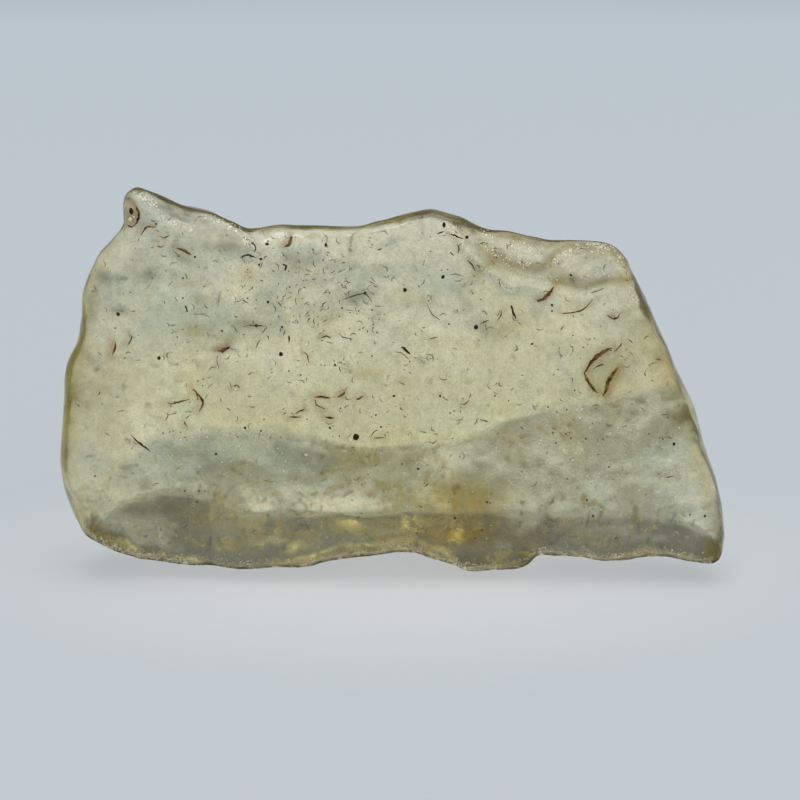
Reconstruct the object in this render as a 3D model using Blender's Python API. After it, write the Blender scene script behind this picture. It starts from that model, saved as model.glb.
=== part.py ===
# Libyan desert glass: one wind-worn, faceted slab of natural silica glass.
#
# The slab stands on its lower edge and leans back by LEAN_DEG. Slab coordinates are in millimetres:
# u to the right, v up along the slab, w into its thickness, with w = 0 on the broad front face.
# The stone itself is in metres, +Z up, with its front towards -Y and its origin on the ground
# under the middle of its box.

import bpy
import bmesh
import math
import random
import numpy as np
from mathutils import Vector

MM = 0.001

# Driving dimensions, in millimetres and degrees
LEAN_DEG = 12.0
FLAT_START_W = 5.1
RIM_SOFTNESS = 1.5

# The slab's outline as seen square to its front face, clockwise from the top left peak: (u, v)
OUTLINE = [
    (-15.2, 22.93), (-14.5, 22.73), (-13.8, 22.46), (-13.05, 22.1), (-12.3, 21.84), (-11.0, 21.55),
    (-10.2, 21.21), (-9.4, 20.9), (-8.75, 20.59), (-8.0, 20.6), (-6.6, 20.76), (-5.5, 20.67),
    (-4.0, 20.72), (-2.4, 20.65), (-1.5, 20.77), (-0.5, 21.08), (0.6, 21.43), (2.1, 21.75),
    (2.8, 21.66), (3.5, 21.4), (4.2, 21.2), (5.0, 20.78), (5.8, 20.48), (7.0, 20.32),
    (8.4, 19.95), (9.3, 19.72), (10.5, 19.77), (12.1, 19.68), (13.0, 19.5), (13.6, 19.15),
    (14.3, 18.1), (15.2, 16.3), (16.0, 14.45), (17.0, 12.3), (18.1, 9.8), (18.9, 6.9),
    (19.5, 4.95), (19.78, 3.6), (19.82, 2.3), (19.6, 1.1), (19.3, 0.6), (18.8, 0.42),
    (17.4, 0.64), (16.0, 0.9), (14.0, 0.74), (12.4, 0.66), (11.2, 0.88), (9.5, 0.95),
    (8.75, 0.9), (8.3, 0.4), (7.6, 0.1), (5.9, 0.0), (4.5, 0.0), (3.6, 0.4),
    (2.4, 0.76), (1.5, 1.1), (0.2, 1.2), (-1.2, 1.03), (-2.9, 0.82), (-4.1, 0.6),
    (-5.0, 0.34), (-7.0, 0.25), (-8.8, 0.1), (-9.8, 0.15), (-10.8, 0.36), (-12.7, 0.42),
    (-14.5, 0.65), (-15.8, 0.95), (-17.0, 1.45), (-18.0, 1.95), (-18.6, 2.55), (-19.2, 3.9),
    (-19.7, 5.6), (-19.9, 7.2), (-19.75, 9.6), (-19.7, 11.4), (-19.5, 12.6), (-18.95, 13.8),
    (-18.65, 15.3), (-18.5, 16.9), (-18.05, 18.1), (-17.5, 19.1), (-16.6, 20.05), (-16.05, 20.8),
    (-16.0, 21.8), (-15.8, 22.5),
]
CURVE_STEPS = 4

# Facets: a point (u, v, w) on the plane and its outward normal
FRONT_FACETS = {
    "front": ((0.0, 10.0, 0.0), (0.0, 0.0, -1.0)),
    "left front": ((-16.2, 10.0, 0.0), (-0.46, 0.04, -0.89)),
    "right front": ((17.7, 4.5, 0.0), (0.50, 0.19, -0.84)),
}
BACK_FACETS = {
    "upper back": ((0.0, 8.0, 12.0), (0.0, 0.434, 0.901)),
    "left back": ((-20.0, 9.0, 6.6), (-0.47, 0.10, 0.88)),
    "right back": ((19.5, 6.0, 8.0), (0.47, -0.04, 0.88)),
}
FACET_MEETING = 1.6
BACK_TILT = 0.9
BACK_RIM = [(13.0, 0.8), (17.0, 1.5)]

# BACK_TILT turns a depth on the back into a distance. BACK_RIM is the radius of the back's edge by
# the distance from the slab's middle. The lower back facet starts at a ridge across the back, (u, v),
# and comes forward below it by LOWER_SLOPE, given along u. Chips, as (u, depth), make the ridge
# uneven and fade out below it
BACK_RIDGE = [(-20.0, 7.6), (-14.0, 8.5), (-8.0, 8.7), (0.0, 7.6), (4.0, 7.9), (10.0, 9.9),
              (20.0, 10.8)]
RIDGE_CHIPS = [(-15.2, -1.8), (-14.6, -0.8), (-13.8, -0.3), (-11.8, 0.0), (-7.8, 0.0), (-5.4, -0.1),
               (-4.75, -0.65), (-2.5, -0.75), (0.45, -0.15), (4.9, -0.3), (6.1, -0.15), (7.9, -0.1),
               (9.8, 0.0), (12.5, -0.1)]
CHIP_REACH = 1.3
LOWER_SLOPE = [(-17.0, -0.10), (-15.6, 0.04), (-14.2, 0.24), (-12.8, 0.40), (-11.4, 0.46),
               (14.0, 0.47), (19.0, 0.38)]
RIDGE_RADIUS = 0.3

# The crease across the front as (u, v), and the normal (v, w) of the band that slopes back under it
CREASE = [(-20.0, 3.6), (-18.4, 3.8), (-17.2, 4.1), (-15.7, 4.75), (-13.6, 4.95), (-12.1, 4.8),
          (-10.8, 4.3), (-9.6, 3.7), (-8.4, 3.45), (0.45, 3.5), (3.9, 3.6), (14.9, 3.32), (19.8, 2.9)]
BAND = (-0.52, -0.854)
CREASE_RADIUS = 0.2

# Shallow scoops where flakes came off: centre (u, v, w), radii, turn in degrees and edge softness
SCOOPS = {
    "top right hollow": ((11.6, 20.6, -3.6), (9.6, 5.2, 5.2), 0.0, 0.45),
    "top left shoulder": ((-11.6, 22.1, -2.9), (7.4, 2.4, 3.9), -22.0, 0.5),
    "back scallop": ((-4.0, 15.5, 17.0), (8.5, 5.5, 8.2), 0.0, 2.2),
    "back right scallop": ((9.5, 6.5, 20.0), (5.5, 4.5, 8.6), 0.0, 1.0),
}

# The underside rises to the back, less so under the left bulge and under the foot: each spot's
# middle and half width along u, and its slope. The rise fades out between two heights
UNDERSIDE_SLOPE = 0.31
RESTING_SPOTS = ((-9.0, 2.5, 0.05), (6.0, 2.2, 0.07))
RISE_FADES = (9.0, 4.0)

# Long, low waves left by wind and etching: lengths and heights, calmer near the rim
WAVES = ((9.0, 0.05), (7.0, 0.045), (5.5, 0.035), (4.5, 0.025), (3.4, 0.02), (2.8, 0.015))
WAVES_EACH = 3
RIM_CALM = 0.3
RIM_WIDTH = 2.5

# The mesh starts as a subdivided cube around this four-cornered middle sheet, as (u, v, w)
CORNERS = {"top left": (-14.8, 22.3, 3.0), "top right": (13.5, 19.5, 3.6),
           "bottom right": (19.5, 1.0, 5.0), "bottom left": (-19.0, 2.0, 5.0)}
HALF_DEPTH = 7.5
CORE = (0.80, 0.66, 0.16)
REACH = 1.5
CELLS = (46, 25, 14)
BISECTIONS = 26


def smooth_outline():
    """The outline as a closed Catmull-Rom curve through its points."""
    points = np.array(OUTLINE)
    before, after, beyond = np.roll(points, 1, 0), np.roll(points, -1, 0), np.roll(points, -2, 0)
    curve = []
    for step in range(CURVE_STEPS):
        t = step / CURVE_STEPS
        curve.append(0.5 * (2 * points + (after - before) * t
                            + (2 * before - 5 * points + 4 * after - beyond) * t ** 2
                            + (3 * points - before - 3 * after + beyond) * t ** 3))
    return np.stack(curve, axis=1).reshape(-1, 2)


def outline_distance(curve, u, v):
    """Signed distance to the outline in millimetres, negative inside."""
    nearest = np.full(u.shape, np.inf)
    inside = np.zeros(u.shape, bool)
    for (au, av), (bu, bv) in zip(curve, np.roll(curve, -1, 0)):
        du, dv = bu - au, bv - av
        along = np.clip(((u - au) * du + (v - av) * dv) / (du * du + dv * dv), 0.0, 1.0)
        nearest = np.minimum(nearest, (u - au - along * du) ** 2 + (v - av - along * dv) ** 2)
        crosses = (av > v) != (bv > v)
        inside ^= crosses & (u < au + (v - av) * du / (dv if dv else 1e-9))
    return np.where(inside, -1.0, 1.0) * np.sqrt(nearest)


def smooth_max(a, b, radius):
    """The larger value, with the edge between the two rounded over about this radius."""
    overlap = np.maximum(radius - np.abs(a - b), 0.0)
    return np.maximum(a, b) + overlap ** 2 / (4.0 * radius)


def ramp(value, start, end):
    """0 before start, 1 after end, smooth between; start may be the larger one."""
    t = np.clip((value - start) / (end - start), 0.0, 1.0)
    return t * t * (3.0 - 2.0 * t)


def along(u, line):
    """The height of a line of (u, height) points at u."""
    return np.interp(u, *zip(*line))


def underside_lift(u, w):
    """How far the underside has risen at this depth, in millimetres."""
    slope = np.full(u.shape, UNDERSIDE_SLOPE)
    for middle, half_width, resting_slope in RESTING_SPOTS:
        bump = np.exp(-((u - middle) / half_width) ** 4)
        slope = slope - (UNDERSIDE_SLOPE - resting_slope) * bump
    return slope * np.maximum(w - FLAT_START_W, 0.0)


def waves():
    """The waves as directions, phases and heights."""
    dice = random.Random(7)
    rows = []
    for length, height in WAVES:
        for _ in range(WAVES_EACH):
            turn = Vector([dice.gauss(0.0, 1.0) for _ in range(3)]).normalized()
            rows.append((np.array(turn) * 2.0 * math.pi / length, dice.uniform(0.0, 6.28), height))
    return rows


def facet_height(points, facet):
    """How far each point is outside a facet's plane."""
    normal = np.array(facet[1]) / np.linalg.norm(facet[1])
    return (points - np.array(facet[0])) @ normal


def back_depth(u, v):
    """The depth w of the back at (u, v), where its facets meet with rounded edges."""
    nearest = None
    for (u0, v0, w0), (nu, nv, nw) in BACK_FACETS.values():
        depth = w0 - (nu * (u - u0) + nv * (v - v0)) / nw
        nearest = depth if nearest is None else -smooth_max(-nearest, -depth, FACET_MEETING)
    return nearest


def back_height(u, v, w):
    """How far each point is outside the back, whose lower facet hangs from the ridge."""
    ridge_v = along(u, BACK_RIDGE)
    slope = along(u, LOWER_SLOPE)
    below = np.maximum(ridge_v - v, 0.0)
    chip = along(u, RIDGE_CHIPS) * np.exp(-(below / CHIP_REACH) ** 2)
    upper = w - back_depth(u, v)
    lower = w - back_depth(u, ridge_v) + slope * (below + chip)
    return BACK_TILT * smooth_max(upper, lower, RIDGE_RADIUS)


def scoop_height(points, centre, radii, turn):
    """How far each point is inside an ellipsoid that is turned in the slab's plane."""
    c, s = math.cos(math.radians(turn)), math.sin(math.radians(turn))
    offset = (points - np.array(centre)) @ np.array([[c, -s, 0.0], [s, c, 0.0], [0.0, 0.0, 1.0]])
    reach = np.linalg.norm(offset / np.array(radii), axis=1)
    return (1.0 - reach) * min(radii)


def stone_value(points, distance, ripple):
    """Below zero inside the stone and above zero outside, in about millimetres."""
    u, v, w = points.T
    edge = distance(u, v - underside_lift(u, w) * ramp(v, *RISE_FADES))
    value = edge
    for facet in FRONT_FACETS.values():
        value = smooth_max(value, facet_height(points, facet), RIM_SOFTNESS)
    value = smooth_max(value, back_height(u, v, w), along(np.abs(u), BACK_RIM))
    value = smooth_max(value, BAND[0] * (v - along(u, CREASE)) + BAND[1] * w, CREASE_RADIUS)
    for centre, radii, turn, softness in SCOOPS.values():
        value = smooth_max(value, scoop_height(points, centre, radii, turn), softness)
    wave = sum(height * np.sin(points @ direction + phase) for direction, phase, height in ripple)
    return value + wave * (RIM_CALM + (1.0 - RIM_CALM) * ramp(-edge, 0.0, RIM_WIDTH))


def box_point(a, b, c):
    """Cube coordinates from -1 to 1 to slab coordinates, around the sheet's four corners."""
    left, up = (1.0 - a) / 2.0, (1.0 + b) / 2.0
    weights = {"top left": left * up, "top right": (1 - left) * up,
               "bottom right": (1 - left) * (1 - up), "bottom left": left * (1 - up)}
    sheet = sum(weights[name][:, None] * np.array(corner) for name, corner in CORNERS.items())
    return sheet + np.outer(HALF_DEPTH * c, (0.0, 0.0, 1.0))


def slab_to_world(points):
    """Slab millimetres to world metres, before the origin is set."""
    lean = math.radians(LEAN_DEG)
    u, v, w = points.T
    ground = FLAT_START_W * math.sin(lean)
    return MM * np.column_stack([u, w * math.cos(lean) + v * math.sin(lean),
                                 v * math.cos(lean) - w * math.sin(lean) + ground])


def cube_grid(bm):
    """A cube from -1 to 1, cut into CELLS along each axis."""
    bmesh.ops.create_cube(bm, size=2.0)
    for axis, cells in enumerate(CELLS):
        edges = [edge for edge in bm.edges
                 if abs(edge.verts[0].co[axis] - edge.verts[1].co[axis]) > 1.0]
        bmesh.ops.subdivide_edges(bm, edges=edges, cuts=cells - 1, use_grid_fill=True)


def move_to_surface(bm):
    """Each point moves out from the core of the box until it lies on the stone's surface."""
    curve, ripple = smooth_outline(), waves()
    cube = np.array([vert.co[:] for vert in bm.verts])
    core = np.clip(cube, -np.array(CORE), np.array(CORE))
    start, end = box_point(*core.T), box_point(*(cube * REACH).T)
    near, far = np.zeros(len(cube)), np.ones(len(cube))
    for _ in range(BISECTIONS):
        middle = (near + far) / 2.0
        points = start + (end - start) * middle[:, None]
        inside = stone_value(points, lambda u, v: outline_distance(curve, u, v), ripple) < 0.0
        near, far = np.where(inside, middle, near), np.where(inside, far, middle)
    surface = slab_to_world(start + (end - start) * near[:, None])
    for vert, place in zip(bm.verts, surface):
        vert.co = place


def cut_flat_spot(bm):
    """What would reach below the ground is cut away flat, which leaves the resting spots."""
    everything = list(bm.verts) + list(bm.edges) + list(bm.faces)
    cut = bmesh.ops.bisect_plane(bm, geom=everything, dist=1e-7, plane_co=(0, 0, 0),
                                 plane_no=(0, 0, -1), clear_outer=True)
    rim = [item for item in cut["geom_cut"] if isinstance(item, bmesh.types.BMEdge)]
    bmesh.ops.holes_fill(bm, edges=rim, sides=0)


def centre_on_ground(bm):
    """The origin goes under the middle of the box."""
    for axis in (0, 1):
        places = [vert.co[axis] for vert in bm.verts]
        middle = (min(places) + max(places)) / 2.0
        for vert in bm.verts:
            vert.co[axis] -= middle


def glass_material():
    material = bpy.data.materials.new("desert_glass")
    material.use_nodes = True
    shader = material.node_tree.nodes["Principled BSDF"]
    shader.inputs["Base Color"].default_value = (0.50, 0.48, 0.33, 1.0)
    shader.inputs["Roughness"].default_value = 0.3
    shader.inputs["Metallic"].default_value = 0.0
    return material


def desert_glass():
    bm = bmesh.new()
    cube_grid(bm)
    move_to_surface(bm)
    cut_flat_spot(bm)
    centre_on_ground(bm)
    bmesh.ops.recalc_face_normals(bm, faces=bm.faces)
    mesh = bpy.data.meshes.new("desert_glass")
    bm.to_mesh(mesh)
    bm.free()
    mesh.shade_smooth()
    stone = bpy.data.objects.new("desert_glass", mesh)
    mesh.materials.append(glass_material())
    bpy.context.scene.collection.objects.link(stone)
    return stone


for old in list(bpy.data.objects):
    bpy.data.objects.remove(old, do_unlink=True)
desert_glass()
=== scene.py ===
# Libyan desert glass: the looks of one wind-worn slab of natural silica glass.
#
# The stone is built in slab coordinates, in millimetres: u to the right, v up along the slab and w
# into its thickness, with w = 0 on the broad front face. The slab leans back by LEAN_DEG, and the
# camera looks along w, so a pixel of the photograph gives u and v directly.

import bpy
import bmesh
import math
import random
import numpy as np
from mathutils import Matrix, Vector, kdtree, noise
from mathutils.bvhtree import BVHTree


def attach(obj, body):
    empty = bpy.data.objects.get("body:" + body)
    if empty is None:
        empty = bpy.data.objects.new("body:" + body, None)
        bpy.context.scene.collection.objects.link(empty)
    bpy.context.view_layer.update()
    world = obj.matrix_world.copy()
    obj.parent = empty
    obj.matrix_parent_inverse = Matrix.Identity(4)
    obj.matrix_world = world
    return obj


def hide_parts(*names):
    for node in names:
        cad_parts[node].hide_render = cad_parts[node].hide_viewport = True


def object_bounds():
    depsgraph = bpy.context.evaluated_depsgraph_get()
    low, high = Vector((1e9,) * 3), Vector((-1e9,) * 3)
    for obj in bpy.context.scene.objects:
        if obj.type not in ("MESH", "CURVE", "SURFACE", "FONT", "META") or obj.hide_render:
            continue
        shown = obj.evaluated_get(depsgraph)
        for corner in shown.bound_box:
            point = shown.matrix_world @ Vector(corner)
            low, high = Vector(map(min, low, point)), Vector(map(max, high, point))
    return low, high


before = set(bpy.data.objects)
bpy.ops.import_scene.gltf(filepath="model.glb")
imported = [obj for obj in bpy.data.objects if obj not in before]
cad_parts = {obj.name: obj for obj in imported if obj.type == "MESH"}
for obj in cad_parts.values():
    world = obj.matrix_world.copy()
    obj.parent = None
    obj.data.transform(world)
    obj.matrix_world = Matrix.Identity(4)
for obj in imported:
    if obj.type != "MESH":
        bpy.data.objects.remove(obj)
cad_low, cad_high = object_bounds()

MM = 0.001
NODE = "desert_glass"
GLASS_IOR = 1.462
TINT_LAYER = "patches"

# The photograph's frame: pixels to a millimetre, the pixel where u = 0 and v = 0 show, the frame's
# size, and the spacing at which a course in pixels is followed
PX_PER_MM = 16.72
ZERO_PX = (392.5, 571.5)
FRAME_PX = 800
LINE_STEP_PX = 3.0

# Driving dimensions, in millimetres and degrees
LEAN_DEG = 12.0
FLAT_START_W = 5.1
RIM_SOFTNESS = 1.5

# The slab's outline as seen square to its front face, clockwise from the top left peak: (u, v)
OUTLINE = [
    (-15.2, 22.93), (-14.5, 22.73), (-13.8, 22.46), (-13.05, 22.1), (-12.3, 21.84), (-11.0, 21.55),
    (-10.2, 21.21), (-9.4, 20.9), (-8.75, 20.59), (-8.0, 20.6), (-6.6, 20.76), (-5.5, 20.67),
    (-4.0, 20.72), (-2.4, 20.65), (-1.5, 20.77), (-0.5, 21.08), (0.6, 21.43), (2.1, 21.75),
    (2.8, 21.66), (3.5, 21.4), (4.2, 21.2), (5.0, 20.78), (5.8, 20.48), (7.0, 20.32),
    (8.4, 19.95), (9.3, 19.72), (10.5, 19.77), (12.1, 19.68), (13.0, 19.5), (13.6, 19.15),
    (14.3, 18.1), (15.2, 16.3), (16.0, 14.45), (17.0, 12.3), (18.1, 9.8), (18.9, 6.9),
    (19.5, 4.95), (19.78, 3.6), (19.82, 2.3), (19.6, 1.1), (19.3, 0.6), (18.8, 0.42),
    (17.4, 0.64), (16.0, 0.9), (14.0, 0.74), (12.4, 0.66), (11.2, 0.88), (9.5, 0.95),
    (8.75, 0.9), (8.3, 0.4), (7.6, 0.1), (5.9, 0.0), (4.5, 0.0), (3.6, 0.4),
    (2.4, 0.76), (1.5, 1.1), (0.2, 1.2), (-1.2, 1.03), (-2.9, 0.82), (-4.1, 0.6),
    (-5.0, 0.34), (-7.0, 0.25), (-8.8, 0.1), (-9.8, 0.15), (-10.8, 0.36), (-12.7, 0.42),
    (-14.5, 0.65), (-15.8, 0.95), (-17.0, 1.45), (-18.0, 1.95), (-18.6, 2.55), (-19.2, 3.9),
    (-19.7, 5.6), (-19.9, 7.2), (-19.75, 9.6), (-19.7, 11.4), (-19.5, 12.6), (-18.95, 13.8),
    (-18.65, 15.3), (-18.5, 16.9), (-18.05, 18.1), (-17.5, 19.1), (-16.6, 20.05), (-16.05, 20.8),
    (-16.0, 21.8), (-15.8, 22.5),
]
CURVE_STEPS = 4

# Facets: a point (u, v, w) on the plane and its outward normal
FRONT_FACETS = {
    "front": ((0.0, 10.0, 0.0), (0.0, 0.0, -1.0)),
    "left front": ((-16.2, 10.0, 0.0), (-0.46, 0.04, -0.89)),
    "right front": ((17.7, 4.5, 0.0), (0.50, 0.19, -0.84)),
}
BACK_FACETS = {
    "upper back": ((0.0, 8.0, 12.0), (0.0, 0.434, 0.901)),
    "left back": ((-20.0, 9.0, 6.6), (-0.47, 0.10, 0.88)),
    "right back": ((19.5, 6.0, 8.0), (0.47, -0.04, 0.88)),
}
FACET_MEETING = 1.6
BACK_TILT = 0.9
BACK_RIM = [(13.0, 0.8), (17.0, 1.5)]

# FACET_MEETING rounds the edges between the back's facets, and BACK_TILT turns a depth on the back
# into a distance. BACK_RIM is the radius of the back's edge by the distance from the slab's middle.
# The lower back facet starts at a ridge across the back, (u, v), and comes forward below it by
# LOWER_SLOPE, given along u. Chips, as (u, depth), make the ridge uneven and fade out below it
BACK_RIDGE = [(-20.0, 7.6), (-14.0, 8.5), (-8.0, 8.7), (0.0, 7.6), (4.0, 7.9), (10.0, 9.9),
              (20.0, 10.8)]
RIDGE_CHIPS = [(-15.2, -1.8), (-14.6, -0.8), (-13.8, -0.3), (-11.8, 0.0), (-7.8, 0.0), (-5.4, -0.1),
               (-4.75, -0.65), (-2.5, -0.75), (0.45, -0.15), (4.9, -0.3), (6.1, -0.15), (7.9, -0.1),
               (9.8, 0.0), (12.5, -0.1)]
CHIP_REACH = 1.3
LOWER_SLOPE = [(-17.0, -0.10), (-15.6, 0.04), (-14.2, 0.24), (-12.8, 0.40), (-11.4, 0.46),
               (14.0, 0.47), (19.0, 0.38)]
RIDGE_RADIUS = 0.3

# The crease across the front as (u, v), and the normal (v, w) of the band that slopes back under it
CREASE = [(-20.0, 3.6), (-18.4, 3.8), (-17.2, 4.1), (-15.7, 4.75), (-13.6, 4.95), (-12.1, 4.8),
          (-10.8, 4.3), (-9.6, 3.7), (-8.4, 3.45), (0.45, 3.5), (3.9, 3.6), (14.9, 3.32), (19.8, 2.9)]
BAND = (-0.52, -0.854)
CREASE_RADIUS = 0.2

# Shallow scoops where flakes came off: centre (u, v, w), radii, turn in degrees and edge softness
SCOOPS = {
    "top right hollow": ((11.6, 20.6, -3.6), (9.6, 5.2, 5.2), 0.0, 0.45),
    "top left shoulder": ((-11.6, 22.1, -2.9), (7.4, 2.4, 3.9), -22.0, 0.5),
    "back scallop": ((-4.0, 15.5, 17.0), (8.5, 5.5, 8.2), 0.0, 2.2),
    "back right scallop": ((9.5, 6.5, 20.0), (5.5, 4.5, 8.6), 0.0, 1.0),
}

# The underside rises to the back, less so under the left bulge and under the foot: each spot's
# middle and half width along u, and its slope. The rise fades out between two heights
UNDERSIDE_SLOPE = 0.31
RESTING_SPOTS = ((-9.0, 2.5, 0.05), (6.0, 2.2, 0.07))
RISE_FADES = (9.0, 4.0)

# Long, low waves left by wind and etching: lengths and heights, calmer near the rim
WAVES = ((9.0, 0.05), (7.0, 0.045), (5.5, 0.035), (4.5, 0.025), (3.4, 0.02), (2.8, 0.015))
WAVES_EACH = 3
WAVE_PHASES = (0.0, 6.28)
RIM_CALM = 0.3
RIM_WIDTH = 2.5

# The mesh starts as a cube cut into CELLS around this four-cornered middle sheet, as (u, v, w). Each
# point moves out from the CORE to the skin. The outline's distance is worked out on a grid
CORNERS = {"top left": (-14.8, 22.3, 3.0), "top right": (13.5, 19.5, 3.6),
           "bottom right": (19.5, 1.0, 5.0), "bottom left": (-19.0, 2.0, 5.0)}
HALF_DEPTH = 7.5
CORE = (0.80, 0.66, 0.16)
REACH = 1.5
CELLS = (208, 116, 50)
BISECTIONS = 22
GRID_STEP = 0.1
GRID_LOW = (-33.0, -10.0)
GRID_HIGH = (33.0, 36.0)
LAST_CELL = 1.001
TINY = 1e-9
CUT_SLACK = 1e-8

# Skin relief left by wind and etching: spacing of the hollows and their depth, and size and depth of
# the fine unevenness, in millimetres
SCALLOPS = ((2.9, 0.085), (1.25, 0.045))
SCALLOP_REACH = 0.8
FINE_RELIEF = (1.0, 0.012)
FINE_OCTAVES = 2

# Low ridges on the front: height and half width in millimetres, course in pixels. They fade out
# where the skin turns away
RIDGE_EDGE = (0.0, 0.3)
RIDGES = [
    (0.11, 0.32, [(448, 224), (460, 242), (469, 255), (489, 273), (510, 290)]),
    (0.08, 0.30, [(545, 264), (556, 251), (585, 244), (612, 247), (626, 263)]),
    (0.07, 0.26, [(578, 272), (590, 262), (606, 262), (617, 270)]),
    (0.08, 0.30, [(629, 283), (634, 297), (638, 312)]),
    (0.07, 0.35, [(140, 203), (165, 216), (190, 226), (240, 232), (252, 246)]),
    (0.06, 0.30, [(484, 236), (505, 243), (530, 250)]),
    (0.05, 0.30, [(494, 258), (512, 262), (532, 262)]),
]

# Patterns in the skin: size in millimetres and detail. The clouds blend two tints, and the mottle and
# the grain darken the skin down to a share of its tint. The real frosting is too fine to show, so the
# grain is drawn as coarse as it needs to be
SKIN_PATTERNS = {"cloud": (2.4, 4.0), "mottle": (0.55, 4.0), "grain": (0.13, 2.0)}
SKIN_TINTS = ("#F9F7EC", "#F7FBF6")
CLOUD_BLEND = (0.42, 0.58)
SHADE_BLEND = (0.38, 0.55)
DARKEST = {"mottle": 0.82, "grain": 0.80}

# The grain's bump: strength, and depth in metres. The glass under the skin: the share of light that
# passes the skin, and the colour and strength of the absorption
SKIN_BUMP = (0.35, 0.00002)
TRANSMISSION = 0.95
BODY_TINT = "#F3EB65"
BODY_DENSITY = 55.0

# The fills of cracks and pits: where their two colours blend, and how little they shine
FILL_BLEND = (0.35, 0.65)
FILL_SHINE = 0.08

# Marks in the skin, read from the photograph. A crack has its width in millimetres and its course in
# pixels; a pit or a grain has its place in pixels and its size in millimetres
CLAY_CRACKS = [
    (0.13, [(141, 235), (144, 230), (147, 227), (156, 227)]),
    (0.07, [(160, 236), (164, 238), (170, 235)]),
    (0.08, [(157, 246), (161, 247), (165, 245)]),
    (0.17, [(177, 248), (184, 251), (191, 255)]),
    (0.07, [(174, 251), (180, 257)]),
    (0.20, [(292, 236), (290, 243), (284, 247)]),
    (0.11, [(132, 335), (131, 340), (128, 345)]),
    (0.15, [(115, 342), (115, 348), (112, 355)]),
    (0.26, [(218, 351), (224, 350), (230, 347)]),
    (0.05, [(218, 354), (217, 361), (219, 369)]),
    (0.10, [(260, 340), (258, 343), (256, 348)]),
    (0.10, [(321, 338), (326, 336), (331, 338)]),
    (0.09, [(304, 352), (307, 355), (309, 363)]),
    (0.09, [(167, 402), (172, 404), (179, 402), (190, 399)]),
    (0.14, [(193, 389), (201, 398), (203, 404), (199, 412)]),
    (0.09, [(167, 413), (168, 416), (165, 421)]),
    (0.06, [(168, 415), (177, 413)]),
    (0.10, [(184, 421), (187, 427)]),
    (0.14, [(314, 397), (322, 397), (330, 398)]),
    (0.16, [(337, 397), (341, 396), (345, 392)]),
    (0.11, [(356, 399), (359, 399), (363, 396)]),
    (0.10, [(315, 399), (317, 405), (325, 409)]),
    (0.11, [(295, 414), (300, 411), (305, 409)]),
    (0.10, [(289, 417), (301, 417)]),
    (0.14, [(325, 417), (330, 418), (334, 418)]),
    (0.08, [(374, 438), (379, 438), (384, 437)]),
    (0.08, [(457, 244), (459, 248), (458, 254)]),
    (0.06, [(458, 247), (462, 243)]),
    (0.10, [(467, 260), (472, 265), (475, 271)]),
    (0.08, [(499, 281), (501, 287)]),
    (0.22, [(537, 301), (543, 299), (550, 292), (554, 287)]),
    (0.09, [(559, 313), (571, 313), (582, 310), (588, 305), (593, 299)]),
    (0.13, [(607, 315), (614, 319), (618, 317), (620, 313)]),
    (0.08, [(501, 310), (501, 315), (497, 321)]),
    (0.09, [(480, 324), (489, 320)]),
    (0.24, [(612, 348), (603, 352), (593, 360), (585, 372)]),
    (0.18, [(584, 372), (588, 382), (593, 389), (598, 393)]),
    (0.26, [(618, 367), (609, 380), (607, 389), (603, 396)]),
    (0.10, [(614, 352), (618, 348), (622, 343)]),
    (0.08, [(593, 369), (598, 366), (604, 364)]),
    (0.12, [(656, 359), (661, 360)]),
    (0.07, [(439, 377), (443, 380), (447, 379)]),
    (0.07, [(399, 382), (405, 385)]),
    (0.07, [(460, 404), (465, 404), (469, 400)]),
    (0.07, [(552, 428), (557, 430)]),
    (0.06, [(661, 415), (669, 414)]),
    (0.06, [(665, 478), (674, 476)]),
    (0.20, [(136, 206), (139, 213), (138, 220), (134, 226)]),
    (0.09, [(126, 207), (124, 214), (125, 221)]),
    (0.12, [(127, 225), (131, 227), (134, 225)]),
    (0.10, [(233, 387), (237, 385), (240, 388)]),
]
DARK_CRACKS = [
    (0.11, [(249, 245), (253, 243), (256, 248), (254, 252)]),
    (0.10, [(240, 258), (248, 255), (257, 258)]),
    (0.16, [(282, 264), (286, 266), (285, 271)]),
    (0.09, [(185, 305), (187, 311)]),
    (0.14, [(289, 335), (289, 342)]),
    (0.08, [(244, 327), (249, 325), (256, 326), (266, 326)]),
    (0.14, [(131, 435), (138, 442), (150, 451)]),
    (0.12, [(450, 234), (456, 236), (463, 239)]),
    (0.08, [(437, 234), (444, 231)]),
    (0.08, [(450, 252), (454, 256)]),
    (0.08, [(421, 214), (423, 219)]),
    (0.17, [(511, 305), (513, 312), (516, 319)]),
    (0.26, [(401, 347), (406, 350), (410, 354)]),
    (0.07, [(339, 333), (343, 337), (353, 339)]),
    (0.07, [(342, 300), (353, 296), (365, 294), (372, 302)]),
    (0.06, [(371, 436), (375, 431), (379, 430)]),
    (0.07, [(479, 419), (489, 422)]),
    (0.06, [(427, 304), (432, 314), (440, 320)]),
    (0.07, [(429, 339), (438, 337)]),
]
FAINT_CRACKS = [
    (0.09, [(450, 275), (456, 274), (462, 276)]),
    (0.08, [(454, 281), (459, 281), (463, 278)]),
    (0.09, [(380, 232), (385, 231), (388, 235)]),
    (0.08, [(590, 293), (597, 291), (604, 288)]),
    (0.06, [(560, 346), (559, 352), (563, 357)]),
    (0.06, [(569, 344), (573, 350), (570, 356)]),
    (0.07, [(194, 314), (207, 314)]),
    (0.07, [(278, 301), (282, 308)]),
    (0.08, [(395, 352), (402, 353), (408, 359)]),
    (0.09, [(427, 441), (433, 443), (437, 440)]),
]
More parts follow.
